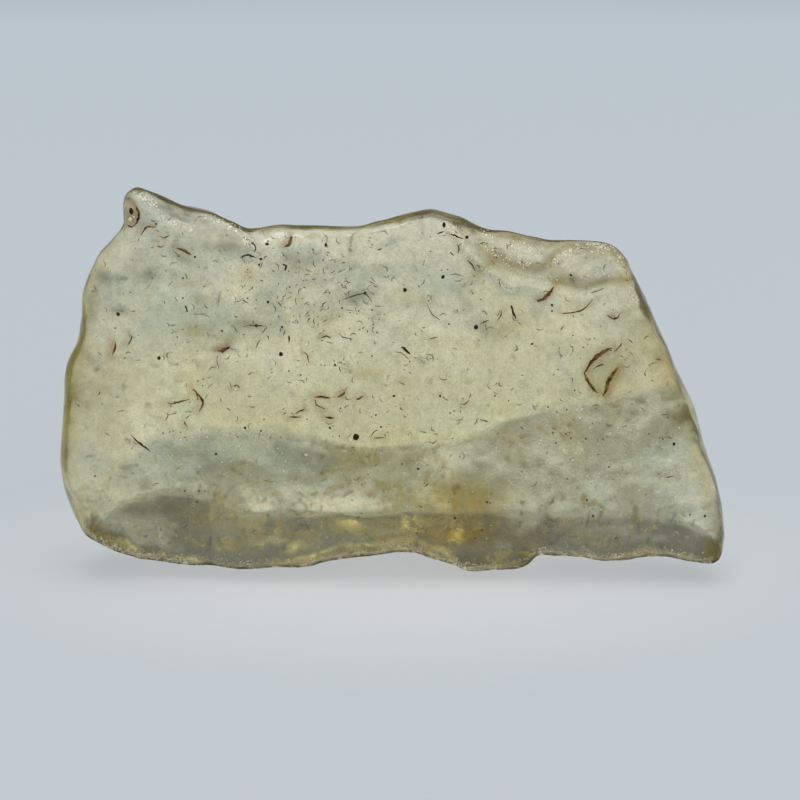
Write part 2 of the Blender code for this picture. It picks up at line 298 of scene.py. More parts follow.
PITS = [
    (131, 211, 0.55), (156, 224, 0.18), (195, 257, 0.18), (267, 244, 0.28), (261, 259, 0.21),
    (259, 265, 0.25), (248, 255, 0.22), (183, 278, 0.16), (183, 298, 0.14), (187, 311, 0.15),
    (118, 314, 0.30), (115, 328, 0.15), (222, 331, 0.16), (159, 358, 0.30), (289, 371, 0.14),
    (301, 375, 0.14), (203, 379, 0.14), (198, 381, 0.14), (268, 302, 0.21), (326, 245, 0.28),
    (323, 260, 0.15), (335, 262, 0.12), (256, 326, 0.25), (282, 327, 0.18), (281, 354, 0.34),
    (372, 310, 0.15), (342, 308, 0.15), (365, 293, 0.22), (372, 356, 0.16), (335, 365, 0.19),
    (334, 361, 0.12), (394, 396, 0.22), (440, 396, 0.19), (444, 225, 0.40), (467, 237, 0.30),
    (443, 277, 0.30), (405, 290, 0.30), (476, 327, 0.38), (552, 305, 0.22), (552, 311, 0.16),
    (449, 324, 0.15), (356, 437, 0.47), (330, 428, 0.19), (381, 427, 0.15), (376, 415, 0.16),
    (216, 454, 0.19), (199, 491, 0.15), (205, 491, 0.12), (185, 491, 0.15), (197, 502, 0.15),
    (95, 476, 0.15), (532, 344, 0.18), (517, 350, 0.15), (495, 396, 0.14), (548, 407, 0.16),
    (522, 262, 0.15), (571, 275, 0.20), (553, 433, 0.15), (566, 434, 0.15), (571, 438, 0.14),
    (586, 439, 0.15), (603, 439, 0.12), (556, 443, 0.12), (649, 434, 0.15), (663, 439, 0.14),
    (675, 407, 0.12), (679, 405, 0.12), (659, 474, 0.12), (567, 479, 0.15), (609, 467, 0.14),
    (613, 479, 0.12), (587, 500, 0.16), (418, 469, 0.19), (402, 464, 0.14), (427, 465, 0.12),
    (487, 502, 0.18), (490, 503, 0.14), (455, 518, 0.25), (482, 530, 0.21), (475, 538, 0.18),
    (417, 533, 0.15), (433, 519, 0.14), (705, 516, 0.20), (690, 515, 0.15), (593, 516, 0.18),
    (616, 538, 0.16), (700, 429, 0.14), (163, 433, 0.15), (173, 431, 0.12), (245, 428, 0.20),
    (261, 431, 0.15), (450, 413, 0.14), (454, 411, 0.12), (674, 444, 0.25),
]
# Pale grains placed one by one where small highlights show: painted glints, a few of them real pale chips.
# Place in pixels, size in millimetres
PAINTED_GLINT_SPOTS = [
    (306, 455, 0.20), (496, 451, 0.14), (573, 460, 0.12), (577, 410, 0.14), (582, 409, 0.12),
    (580, 418, 0.12), (239, 446, 0.12), (130, 219, 0.36), (134, 217, 0.18), (360, 333, 0.20),
    (236, 389, 0.14), (566, 256, 0.18), (571, 251, 0.14), (592, 252, 0.20), (598, 249, 0.14),
    (603, 253, 0.16), (590, 266, 0.14), (618, 261, 0.12), (609, 250, 0.12), (486, 235, 0.20),
    (512, 246, 0.16), (524, 243, 0.18), (529, 249, 0.14), (496, 255, 0.14), (530, 263, 0.12),
]

# Small marks too many to place one by one, with pale grains as painted glints among them: the box in pixels,
# how many, and their widths
SCATTERED = [
    ("clay", (70, 215, 700, 540), 60, (0.035, 0.065)),
    ("dark", (236, 236, 380, 335), 80, (0.035, 0.065)),
    ("dark", (100, 230, 640, 430), 60, (0.03, 0.055)),
    ("faint", (90, 215, 670, 440), 260, (0.05, 0.09)),
    ("pit", (90, 220, 690, 520), 170, (0.06, 0.12)),
    ("pit", (236, 236, 380, 335), 40, (0.07, 0.13)),
    ("painted_glint_grain", (140, 425, 700, 510), 260, (0.05, 0.12)),
    ("painted_glint_grain", (555, 244, 625, 280), 30, (0.05, 0.13)),
    ("painted_glint_grain", (110, 505, 710, 556), 90, (0.05, 0.12)),
    ("painted_glint_grain", (100, 205, 660, 430), 120, (0.04, 0.08)),
]
# Lines of painted glints, pale grains strewn where the skin's highlights run: how many, half width in
# pixels, course in pixels
PAINTED_GLINT_LINES = [
    (130, 2.2, [(448, 224), (460, 242), (469, 255), (489, 273), (510, 290)]),
    (120, 2.0, [(134, 194), (146, 199), (157, 206)]),
    (130, 2.6, [(160, 217), (175, 224), (192, 230)]),
    (110, 2.4, [(205, 215), (222, 222), (240, 232), (251, 244)]),
    (26, 2.0, [(629, 287), (633, 297), (636, 307)]),
    (170, 2.0, [(553, 264), (562, 253), (585, 246), (610, 248), (624, 262)]),
    (70, 2.4, [(478, 240), (495, 254), (512, 262), (532, 263)]),
    (60, 2.2, [(480, 232), (505, 243), (530, 250)]),
]
PAINTED_GLINT_SIZES = (0.04, 0.12)

# Dirt, stain and sand on the back, seen through the stone, with pale ochre grains as a painted warm glow and
# pale grains as painted glints: middle and spread in pixels, how many, sizes
BEHIND = [
    ("ochre", (455, 505), (36, 12), 60, (0.10, 0.26)),
    ("painted_glint_grain", (430, 534), (170, 12), 110, (0.10, 0.26)),
    ("dark_dirt", (400, 532), (170, 12), 70, (0.10, 0.30)),
    ("painted_glint_grain", (165, 520), (38, 16), 50, (0.10, 0.26)),
    ("ochre", (230, 530), (100, 14), 60, (0.10, 0.30)),
    ("sand", (165, 524), (55, 16), 300, (0.08, 0.22)),
    ("sand", (430, 541), (170, 8), 240, (0.08, 0.20)),
]

# Sand under the stone: how many grains, their sizes in millimetres, and how far the skin faces down
SAND_COUNT = 3400
SAND_SIZES = (0.22, 0.46)
SAND_FROM = -0.62

# Sand along the lower front edge, in pixels: from x to x, the y to search from, the depth of the
# strip, how many grains, and their sizes in millimetres
EDGE_SAND = ((75, 712), 590, 7.0, 2600, (0.05, 0.14))
EDGE_STEP = 4

# Small marks on the sides and the back: how many, how far around the stone's middle they are aimed
# along its width and height, the middle's height in metres, their sizes, the limit of how far the
# skin may face the front, and the lowest place in metres
SIDE_MARKS = {"clay": 130, "dark": 110, "faint": 110, "pit": 200, "painted_glint_grain": 140}
SIDE_AIM = (17.0, 7.0)
SIDE_MIDDLE = 0.011
SIDE_SIZES = (0.04, 0.12)
SIDE_FACING = -0.3
SIDE_LOWEST = 0.001

# Rays: how far from the stone one starts, in metres, and the step that takes one into the glass
RAY_START = 0.1
RAY_STEP = 0.1 * MM

# A crack: lengths and bend of the small ones, spacing of its points, depth as a share of half its
# width, how it swells from its blunt ends, how uneven it is, and how it stands proud of the skin
SMALL_CRACK = (0.10, 0.48)
SMALL_BEND = 0.35
CRACK_STEP = 0.12
CRACK_DEPTH = 1.6
CRACK_BLUNT = 0.06
CRACK_SWELL = 0.8
CRACK_UNEVEN = (0.6, 1.25)
CRACK_WANDER = 0.4
CRACK_SLANT = 0.6
PROUD = 0.013
EDGE_SUNK = 0.3

# The clay's stain beside a crack: its reach, the crack's width that stains fully, and its colour
CRACK_HALO = 0.26
STAINING_WIDTH = 0.2
HALO_TINT = "#B8935F"

# A grain as shares of its size: width, height and unevenness, and how deep it is sunk
GRAIN_WIDTHS = (0.6, 0.95)
GRAIN_HEIGHT = 0.3
GRAIN_UNEVEN = (0.8, 1.1)
GRAIN_SUNK = 0.06

# The marks stay inside the solid's box by this gap, in metres
BOX_GAP = 0.000002

SEEDS = {"waves": 7, "scallops": 11, "placed": 3, "front": 5, "painted_glints": 13, "behind": 17, "sand": 19,
         "edge sand": 23, "sides": 9}

# Soft patches of colour in the skin, stains and smudges, painted shade on the rims, the hollow and the foot,
# and a painted glow: middle, half size in pixels, turn in degrees, colour
PATCHES = [
    ((121, 311), (11, 4), 0, "#8F938C"),
    ((153, 277), (12, 7), -10, "#94979A"),
    ((234, 247), (17, 7), 0, "#9C998C"),
    ((107, 279), (10, 8), 20, "#A0A198"),
    ((300, 262), (20, 9), 0, "#AEB2AC"),
    ((246, 325), (20, 5), 5, "#A8A695"),
    ((232, 340), (14, 7), 0, "#B3AA8E"),
    ((355, 298), (20, 7), -15, "#A7AAA0"),
    ((130, 216), (9, 12), 0, "#A69A80"),
    ((224, 349), (9, 5), -10, "#98774A"),
    # Golden tint low in the middle: painted glow, for the warm light that comes through the lower band
    ((458, 498), (58, 20), 0, "#F2D690"),
    ((460, 534), (66, 16), 0, "#F6D882"),
    # Painted shade: olive in the top right hollow and along the top rim, and darker along the side rims
    ((486, 266), (7, 26), 47, "#C2B78F"),
    ((528, 270), (38, 8), 6, "#B3A983"),
    ((582, 280), (40, 6), 5, "#BDB28C"),
    ((545, 240), (70, 6), 9, "#E0D9C2"),
    ((668, 372), (12, 70), -19, "#EAE1C2"),
    ((74, 430), (8, 48), 2, "#E9DFBC"),
    ((93, 300), (9, 34), 14, "#D8CDA9"),
    ((606, 385), (16, 24), 0, "#E6DABC"),
    # Painted shade at the foot, where it sits in its own shadow
    ((476, 562), (62, 8), 0, "#B2AF9F"),
    # Painted shade along the left and right rims and at the foot's step, and darker at the left middle
    ((80, 370), (10, 36), 14, "#E2D6B0"),
    ((84, 515), (12, 22), -30, "#D9C9A0"),
    ((700, 470), (10, 60), -14, "#E7DFC2"),
    ((524, 554), (11, 9), 0, "#A8A591"),
    ((100, 395), (34, 50), 0, "#DDD8CC"),
    # Stains and smudges
    ((192, 284), (12, 6), 0, "#D2C69E"),
    ((198, 331), (16, 8), 10, "#D0C39A"),
    ((249, 276), (12, 9), 0, "#E2D2B6"),
    ((190, 262), (15, 6), 20, "#BEBDB2"),
    ((94, 314), (5, 13), 0, "#BFC4C5"),
    # Painted shade inside the top left rim
    ((175, 212), (40, 5), 20, "#C9C2AA"),
    # Slightly darker patches across the middle
    ((205, 300), (7, 5), 0, "#CFC8AE"),
    ((330, 318), (16, 6), -10, "#CFCAB6"),
    ((418, 300), (22, 8), 15, "#D4CDB6"),
    ((500, 330), (26, 10), -15, "#D8CFB4"),
    ((372, 372), (18, 9), 10, "#D9D0B2"),
    # Painted shade low at the left, at the right rim and in the top right hollow
    ((145, 530), (55, 17), 10, "#CECDC4"),
    ((630, 365), (46, 50), -20, "#DCD5C8"),
    ((590, 256), (36, 12), 5, "#E4DCC6"),
    # Painted shade over a bright spot in the lower band at the right end
    ((712, 551), (8, 12), 0, "#77735F"),
]

# Olive bands along the upper rim and across the hollow, olive tone deepened by painted shade where the rim
# and the hollow's edge bend the view: half width in millimetres, course in pixels
OLIVE_AND_SHADE_BANDS = [
    (0.34, [(465, 219), (495, 233), (546, 244), (576, 247), (608, 249), (628, 268), (646, 304), (663, 337),
            (680, 380)]),
    (0.40, [(477, 245), (489, 257), (510, 264), (540, 270)]),
    (0.30, [(540, 270), (552, 256), (564, 248)]),
    (0.34, [(552, 281), (582, 287), (612, 280), (627, 280)]),
    (0.20, [(136, 190), (150, 194), (190, 209), (215, 215), (240, 228), (252, 233)]),
    (0.16, [(252, 233), (300, 228), (350, 228), (400, 218), (428, 212)]),
]
OLIVE_AND_SHADE_BANDS_TINT = "#B4A67E"

# Painted shade: the blue-grey zone low on the left, where the floor's shadow shows through the glass. Its
# upper edge and where it fades out, in pixels, and its colour
PAINTED_SHADE_ZONE = [(100, 484), (120, 472), (135, 455), (160, 436), (200, 430), (250, 426), (285, 424),
             (297, 430), (308, 446), (340, 453)]
PAINTED_SHADE_ZONE_FADES = ((100, 125), (350, 320), (498, 468), (0, 6))
PAINTED_SHADE_ZONE_TINT = "#DAE1EA"

# How far the skin faces the camera where its stains and painted shade start and are full
FRONT_EDGE = (0.0, 0.4)

# Dust on the underside, dark enough to be painted shade along the lower edge and at the foot: how far it
# faces down where the dust starts and is full, how much further down the back must face, where the back
# begins, and the dust's colour
UNDERSIDE_DUST_AND_SHADE = (0.37, 0.55)
CLEAN_BACK = 0.28
BACK_EDGE = (-0.2, 0.2)
DUST_AND_SHADE_TINT = "#4A473C"
SKIN_ROUGHNESS = 0.16
DUST_ROUGHNESS = 0.75

# The floor's paper by distance from the stone in metres, lighter near the stone and darker further off as a
# painted falloff of light, the strength of its painted glow, which no lamp gives, and the share of the
# lamps' light that it gives back. The pale spot is a painted pool of light with a middle, half sizes and a
# colour, and its edge starts and ends at shares of its half sizes
PAPER = ((0.008, "#E8ECEE"), (0.03, "#D5DEE3"), (0.26, "#D5E1EA"), (0.45, "#9CA4AB"), (1.0, "#FFFFFF"))
PAINTED_PAPER_GLOW = 0.545
PAPER_SHARE = 0.25
PAPER_ROUGHNESS = 0.9
PAINTED_LIGHT_SPOT = ((0.0, 0.031), (0.017, 0.021), "#F2F4F2")
SPOT_EDGE = (1.0, 0.6)
FLOOR_HALF = 4.0

# Light of the room by direction, linear, and the directions between which it changes
ROOM = (0.115, 0.118, 0.12, 1.0)
BACKDROP = (0.36, 0.38, 0.375, 1.0)
CEILING = (0.36, 0.37, 0.40, 1.0)
BACKDROP_SIDES = (0.35, 0.85)
BACKDROP_TOP = (0.30, 0.12)
CEILING_EDGE = (0.45, 0.95)

# Lamps: place, target and size in metres, power in watts and colour
LAMPS = {
    "overhead": ((0.06, 0.02, 0.8), (0.0, 0.02, 0.0), (0.6, 0.6), 2.8, "#F6F9FF"),
    "front window": ((0.1, -0.6, 0.5), (0.0, 0.0, 0.01), (0.9, 0.6), 3.0, "#FFF6EE"),
    "top lamp": ((-0.16, -0.24, 0.62), (0.0, 0.0, 0.01), (0.12, 0.12), 0.45, "#FFF8F2"),
}

# Camera: lens and sensor, the depth in the slab it aims at in millimetres, and its range in metres
LENS_MM = 200.0
SENSOR_MM = 36.0
AIM_W = 3.5
CAMERA_RANGE = (0.01, 20.0)


# Form of the stone

def curve_point(before, start, end, beyond, t):
    """The point at t, from 0 to 1, on the Catmull-Rom curve between start and end."""
    return 0.5 * (2 * start + (end - before) * t + (2 * before - 5 * start + 4 * end - beyond) * t ** 2
                  + (3 * start - before - 3 * end + beyond) * t ** 3)


def smooth_outline():
    """The outline as a closed curve through its points."""
    points = np.array(OUTLINE)
    before, after, beyond = np.roll(points, 1, 0), np.roll(points, -1, 0), np.roll(points, -2, 0)
    curve = [curve_point(before, points, after, beyond, step / CURVE_STEPS) for step in range(CURVE_STEPS)]
    return np.stack(curve, axis=1).reshape(-1, 2)


def outline_distance(curve, u, v):
    """Signed distance to the outline in millimetres, negative inside."""
    nearest = np.full(u.shape, np.inf)
    inside = np.zeros(u.shape, bool)
    for (au, av), (bu, bv) in zip(curve, np.roll(curve, -1, 0)):
        du, dv = bu - au, bv - av
        share = np.clip(((u - au) * du + (v - av) * dv) / (du * du + dv * dv), 0.0, 1.0)
        nearest = np.minimum(nearest, (u - au - share * du) ** 2 + (v - av - share * dv) ** 2)
        crosses = (av > v) != (bv > v)
        inside ^= crosses & (u < au + (v - av) * du / (dv if dv else TINY))
    return np.where(inside, -1.0, 1.0) * np.sqrt(nearest)


def distance_grid():
    """The outline's distance worked out once on a fine grid, and read from it between its points."""
    us = np.arange(GRID_LOW[0], GRID_HIGH[0], GRID_STEP)
    vs = np.arange(GRID_LOW[1], GRID_HIGH[1], GRID_STEP)
    grid = outline_distance(smooth_outline(), *np.meshgrid(us, vs, indexing="ij"))

    def read(u, v):
        gu = np.clip((u - GRID_LOW[0]) / GRID_STEP, 0.0, len(us) - LAST_CELL)
        gv = np.clip((v - GRID_LOW[1]) / GRID_STEP, 0.0, len(vs) - LAST_CELL)
        iu, iv = gu.astype(int), gv.astype(int)
        fu, fv = gu - iu, gv - iv
        low = grid[iu, iv] * (1 - fu) + grid[iu + 1, iv] * fu
        high = grid[iu, iv + 1] * (1 - fu) + grid[iu + 1, iv + 1] * fu
        return low * (1 - fv) + high * fv
    return read


def smooth_max(a, b, radius):
    """The larger value, with the edge between the two rounded over about this radius."""
    overlap = np.maximum(radius - np.abs(a - b), 0.0)
    return np.maximum(a, b) + overlap ** 2 / (4.0 * radius)


def ramp(value, start, end):
    """0 before start, 1 after end, smooth between; start may be the larger one."""
    t = np.clip((value - start) / (end - start), 0.0, 1.0)
    return t * t * (3.0 - 2.0 * t)


def along(u, line):
    """The height of a line of (u, height) points at u."""
    return np.interp(u, *zip(*line))


def underside_lift(u, w):
    """How far the underside has risen at this depth, in millimetres."""
    slope = np.full(u.shape, UNDERSIDE_SLOPE)
    for middle, half_width, resting_slope in RESTING_SPOTS:
        bump = np.exp(-((u - middle) / half_width) ** 4)
        slope = slope - (UNDERSIDE_SLOPE - resting_slope) * bump
    return slope * np.maximum(w - FLAT_START_W, 0.0)


def waves():
    """The waves as directions, phases and heights."""
    dice = random.Random(SEEDS["waves"])
    rows = []
    for length, height in WAVES:
        for _ in range(WAVES_EACH):
            turn = Vector([dice.gauss(0.0, 1.0) for _ in range(3)]).normalized()
            rows.append((np.array(turn) * 2.0 * math.pi / length, dice.uniform(*WAVE_PHASES), height))
    return rows


def facet_height(points, facet):
    """How far each point is outside a facet's plane."""
    normal = np.array(facet[1]) / np.linalg.norm(facet[1])
    return (points - np.array(facet[0])) @ normal


def back_depth(u, v):
    """The depth w of the back at (u, v), where its facets meet with rounded edges."""
    nearest = None
    for (u0, v0, w0), (nu, nv, nw) in BACK_FACETS.values():
        depth = w0 - (nu * (u - u0) + nv * (v - v0)) / nw
        nearest = depth if nearest is None else -smooth_max(-nearest, -depth, FACET_MEETING)
    return nearest


def back_height(u, v, w):
    """How far each point is outside the back, whose lower facet hangs from the ridge."""
    ridge_v = along(u, BACK_RIDGE)
    slope = along(u, LOWER_SLOPE)
    below = np.maximum(ridge_v - v, 0.0)
    chip = along(u, RIDGE_CHIPS) * np.exp(-(below / CHIP_REACH) ** 2)
    upper = w - back_depth(u, v)
    lower = w - back_depth(u, ridge_v) + slope * (below + chip)
    return BACK_TILT * smooth_max(upper, lower, RIDGE_RADIUS)


def scoop_height(points, centre, radii, turn):
    """How far each point is inside an ellipsoid that is turned in the slab's plane."""
    c, s = math.cos(math.radians(turn)), math.sin(math.radians(turn))
    offset = (points - np.array(centre)) @ np.array([[c, -s, 0.0], [s, c, 0.0], [0.0, 0.0, 1.0]])
    reach = np.linalg.norm(offset / np.array(radii), axis=1)
    return (1.0 - reach) * min(radii)


def stone_value(points, distance, ripple):
    """Below zero inside the stone and above zero outside, in about millimetres."""
    u, v, w = points.T
    edge = distance(u, v - underside_lift(u, w) * ramp(v, *RISE_FADES))
    value = edge
    for facet in FRONT_FACETS.values():
        value = smooth_max(value, facet_height(points, facet), RIM_SOFTNESS)
    value = smooth_max(value, back_height(u, v, w), along(np.abs(u), BACK_RIM))
    value = smooth_max(value, BAND[0] * (v - along(u, CREASE)) + BAND[1] * w, CREASE_RADIUS)
    for centre, radii, turn, softness in SCOOPS.values():
        value = smooth_max(value, scoop_height(points, centre, radii, turn), softness)
    wave = sum(height * np.sin(points @ direction + phase) for direction, phase, height in ripple)
    return value + wave * (RIM_CALM + (1.0 - RIM_CALM) * ramp(-edge, 0.0, RIM_WIDTH))


def box_point(a, b, c):
    """Cube coordinates from -1 to 1 to slab coordinates, around the sheet's four corners."""
    left, up = (1.0 - a) / 2.0, (1.0 + b) / 2.0
    weights = {"top left": left * up, "top right": (1 - left) * up,
               "bottom right": (1 - left) * (1 - up), "bottom left": left * (1 - up)}
    sheet = sum(weights[name][:, None] * np.array(corner) for name, corner in CORNERS.items())
    return sheet + np.outer(HALF_DEPTH * c, (0.0, 0.0, 1.0))


def slab_to_world(points):
    """Slab millimetres to world metres, before the origin is set."""
    lean = math.radians(LEAN_DEG)
    u, v, w = points.T
    ground = FLAT_START_W * math.sin(lean)
    return MM * np.column_stack([u, w * math.cos(lean) + v * math.sin(lean),
                                 v * math.cos(lean) - w * math.sin(lean) + ground])


def cube_grid(bm):
    """A cube from -1 to 1, cut into CELLS along each axis."""
    bmesh.ops.create_cube(bm, size=2.0)
    for axis, cells in enumerate(CELLS):
        edges = [edge for edge in bm.edges
                 if abs(edge.verts[0].co[axis] - edge.verts[1].co[axis]) > 1.0]
        bmesh.ops.subdivide_edges(bm, edges=edges, cuts=cells - 1, use_grid_fill=True)


def surface_points(cube):
    """Each point of the cube moved out from the box's core until it lies on the stone's surface."""
    distance, ripple = distance_grid(), waves()
    core = np.clip(cube, -np.array(CORE), np.array(CORE))
    start, end = box_point(*core.T), box_point(*(cube * REACH).T)
    near, far = np.zeros(len(cube)), np.ones(len(cube))
    for _ in range(BISECTIONS):
        middle = (near + far) / 2.0
        inside = stone_value(start + (end - start) * middle[:, None], distance, ripple) < 0.0
        near, far = np.where(inside, middle, near), np.where(inside, far, middle)
    return start + (end - start) * near[:, None]


def rounded_course(points, step):
    """Points along a curve through the given ones, about one step apart."""
    course = [Vector(point) for point in points]
    course = [2 * course[0] - course[1], *course, 2 * course[-1] - course[-2]]
    made = []
    for a, b, c, d in zip(course, course[1:], course[2:], course[3:]):
        cuts = max(2, int((c - b).length / step))
        made += [curve_point(a, b, c, d, cut / cuts) for cut in range(cuts)]
    return made + [course[-2]]


def nearest_line(points, lines):
    """The value of the line nearest to each point as seen from the front, and how far off it is."""
    spots, values = [], []
    for value, course in lines:
        for x, y in rounded_course(course, LINE_STEP_PX):
            spots.append(((x - ZERO_PX[0]) / PX_PER_MM, (ZERO_PX[1] - y) / PX_PER_MM, 0.0))
            values.append(value)
    tree = kdtree.KDTree(len(spots))
    for index, spot in enumerate(spots):
        tree.insert(spot, index)
    tree.balance()
    found = [tree.find((u, v, 0.0)) for u, v in points[:, :2]]
    return np.array([values[index] for _, index, _ in found]), np.array([far for _, _, far in found])


def scallop_height(points, spacing, seed):
    """0 in the middle of each shallow hollow and 1 on the ridges between hollows."""
    dice = random.Random(seed)
    low, high = points.min(0), points.max(0)
    count = int(np.prod((high - low) / spacing))
    centres = kdtree.KDTree(count)
    for index in range(count):
        centres.insert([dice.uniform(low[k], high[k]) for k in range(3)], index)
    centres.balance()
    near = np.array([centres.find(point)[2] for point in points])
    return np.clip(near / spacing / SCALLOP_REACH, 0.0, 1.0) ** 2


def carved(points, normals):
    """The points moved in along their normals by the skin's relief, in slab millimetres."""
    depth = np.zeros(len(points))
    for number, (spacing, height) in enumerate(SCALLOPS):
        depth += height * (1.0 - scallop_height(points, spacing, SEEDS["scallops"] + number))
    size, height = FINE_RELIEF
    fine = np.array([noise.fractal(Vector(point) / size, 1.0, 2.0, FINE_OCTAVES) for point in points])
    depth += height * (1.0 + np.clip(fine, -1.0, 1.0))
    heights, reach = nearest_line(points, [(height, line) for height, _, line in RIDGES])
    widths, _ = nearest_line(points, [(width, line) for _, width, line in RIDGES])
    depth -= heights * np.exp(-(reach / widths) ** 2) * ramp(-normals[:, 2], *RIDGE_EDGE)
    return points - normals * depth[:, None]


def stain_and_shade(tint, strength, colour):
    """Takes the tint to a colour, fully where the strength is 1."""
    tint[:, :3] *= 1.0 - strength[:, None] * (1.0 - np.array(paint(colour)[:3]))


def crack_halo(points):
    """How strongly the clay has stained the glass beside each crack, from 0 to 1."""
    widths, reach = nearest_line(points, CLAY_CRACKS)
    return np.minimum(widths / STAINING_WIDTH, 1.0) * np.exp(-(reach / CRACK_HALO) ** 2)


def painted_shade_zone(px, py):
    """1 in the blue-grey zone of painted shade and 0 outside it."""
    left, right, low, edge = PAINTED_SHADE_ZONE_FADES
    below = py - along(px, PAINTED_SHADE_ZONE)
    return ramp(px, *left) * ramp(px, *right) * ramp(py, *low) * ramp(below, *edge)


def dust_and_shade(normals):
    """1 where the skin faces down and carries dust and painted shade, 0 where it is clean."""
    lean = math.radians(LEAN_DEG)
    down = normals[:, 2] * math.sin(lean) - normals[:, 1] * math.cos(lean)
    return ramp(down - CLEAN_BACK * ramp(normals[:, 2], *BACK_EDGE), *UNDERSIDE_DUST_AND_SHADE)


def stains_and_painted_shade(points, normals):
    """The skin's stains and painted shade at each point as linear colours, with its dust and painted shade
    underneath as a fourth number.
    """
    px = ZERO_PX[0] + points[:, 0] * PX_PER_MM
    py = ZERO_PX[1] - points[:, 1] * PX_PER_MM
    facing = ramp(-normals[:, 2], *FRONT_EDGE)
    tint = np.ones((len(points), 4))
    for (x, y), (rx, ry), turn, colour in PATCHES:
        c, s = math.cos(math.radians(turn)), math.sin(math.radians(turn))
        dx, dy = px - x, py - y
        reach = ((dx * c + dy * s) / rx) ** 2 + ((dy * c - dx * s) / ry) ** 2
        stain_and_shade(tint, np.exp(-reach) * facing, colour)
    widths, reach = nearest_line(points, OLIVE_AND_SHADE_BANDS)
    stain_and_shade(tint, np.exp(-(reach / widths) ** 2) * facing, OLIVE_AND_SHADE_BANDS_TINT)
    stain_and_shade(tint, painted_shade_zone(px, py) * facing, PAINTED_SHADE_ZONE_TINT)
    stain_and_shade(tint, crack_halo(points) * facing, HALO_TINT)
    tint[:, 3] = dust_and_shade(normals)
    stain_and_shade(tint, tint[:, 3], DUST_AND_SHADE_TINT)
    return tint


def stone_mesh():
    """The skin as one closed mesh, cut flat where it rests, with its stains and painted shade at each point.
    """
    bm = bmesh.new()
    cube_grid(bm)
    cube = np.array([vert.co[:] for vert in bm.verts])
    points = surface_points(cube)
    for vert, place in zip(bm.verts, points):
        vert.co = place
    bmesh.ops.recalc_face_normals(bm, faces=bm.faces)
    bm.normal_update()
    normals = np.array([vert.normal[:] for vert in bm.verts])
    world = slab_to_world(carved(points, normals))
    layer = bm.verts.layers.float_color.new(TINT_LAYER)
    for vert, place, tint in zip(bm.verts, world, stains_and_painted_shade(points, normals)):
        vert.co = place
        vert[layer] = tint
    everything = list(bm.verts) + list(bm.edges) + list(bm.faces)
    cut = bmesh.ops.bisect_plane(bm, geom=everything, dist=CUT_SLACK, plane_co=(0, 0, 0),
                                 plane_no=(0, 0, -1), clear_outer=True)
    rim = [item for item in cut["geom_cut"] if isinstance(item, bmesh.types.BMEdge)]
    bmesh.ops.holes_fill(bm, edges=rim, sides=0)
    bmesh.ops.recalc_face_normals(bm, faces=bm.faces)
    mesh = bpy.data.meshes.new("stone_skin")
    bm.to_mesh(mesh)
    bm.free()
    mesh.shade_smooth()
    return mesh


# Materials

def paint(hex_colour):
    """An sRGB hex colour as linear numbers, with 1 as its alpha."""
    parts = [int(hex_colour[k:k + 2], 16) / 255.0 for k in (1, 3, 5)]
    linear = [c / 12.92 if c <= 0.04045 else ((c + 0.055) / 1.055) ** 2.4 for c in parts]
    return (*linear, 1.0)


def node(tree, kind, inputs=None, **settings):
    """Adds one node with its settings, and sets or links its inputs."""
    made = tree.nodes.new(kind)
    for name, value in settings.items():
        setattr(made, name, value)
    for name, value in (inputs or {}).items():
        sockets = [socket for socket in made.inputs if socket.enabled and socket.name == name]
        socket = sockets[0] if sockets else made.inputs[name]
        if isinstance(value, bpy.types.NodeSocket):
            tree.links.new(value, socket)
        else:
            socket.default_value = value
    return made


def material(name):
    """A new material and its empty node tree."""
    made = bpy.data.materials.new(name)
    made.use_nodes = True
    made.node_tree.nodes.clear()
    return made, made.node_tree


def frosted_desert_glass():
    """Natural silica glass, wind-frosted: a satin skin over a pale, see-through yellow body."""
    made, tree = material("wind_frosted_desert_glass")
    where = node(tree, "ShaderNodeTexCoord").outputs["Object"]
    fields = {}
    for name, (size_mm, detail) in SKIN_PATTERNS.items():
        fields[name] = node(tree, "ShaderNodeTexNoise", {
            "Vector": where, "Scale": 1.0 / (size_mm * MM), "Detail": detail}).outputs["Fac"]
    cloud = node(tree, "ShaderNodeMapRange", {"Value": fields["cloud"], "From Min": CLOUD_BLEND[0],
                                              "From Max": CLOUD_BLEND[1]}).outputs[0]
    tint = node(tree, "ShaderNodeMix", {"Factor": cloud, "A": paint(SKIN_TINTS[0]),
                                        "B": paint(SKIN_TINTS[1])}, data_type="RGBA").outputs["Result"]
    for name, low in DARKEST.items():
        shade = node(tree, "ShaderNodeMapRange", {
            "Value": fields[name], "From Min": SHADE_BLEND[0], "From Max": SHADE_BLEND[1],
            "To Min": low, "To Max": 1.0}).outputs[0]
        tint = node(tree, "ShaderNodeVectorMath", {0: tint, "Scale": shade}, operation="SCALE").outputs[0]
    stains_and_shade = node(tree, "ShaderNodeAttribute", attribute_name=TINT_LAYER).outputs
    skin = node(tree, "ShaderNodeMix", {"Factor": 1.0, "A": tint, "B": stains_and_shade["Color"]}, data_type="RGBA",
                blend_type="MULTIPLY").outputs["Result"]
    roughness = node(tree, "ShaderNodeMapRange", {"Value": stains_and_shade["Alpha"], "To Min": SKIN_ROUGHNESS,
                                                  "To Max": DUST_ROUGHNESS}).outputs[0]
    bump = node(tree, "ShaderNodeBump", {"Strength": SKIN_BUMP[0], "Distance": SKIN_BUMP[1],
                                         "Height": fields["grain"]}).outputs["Normal"]
    shader = node(tree, "ShaderNodeBsdfPrincipled", {
        "Base Color": skin, "Roughness": roughness, "IOR": GLASS_IOR,
        "Transmission Weight": TRANSMISSION, "Normal": bump}).outputs["BSDF"]
    body = node(tree, "ShaderNodeVolumeAbsorption", {"Color": paint(BODY_TINT), "Density": BODY_DENSITY})
    node(tree, "ShaderNodeOutputMaterial", {"Surface": shader, "Volume": body.outputs["Volume"]})
    return made


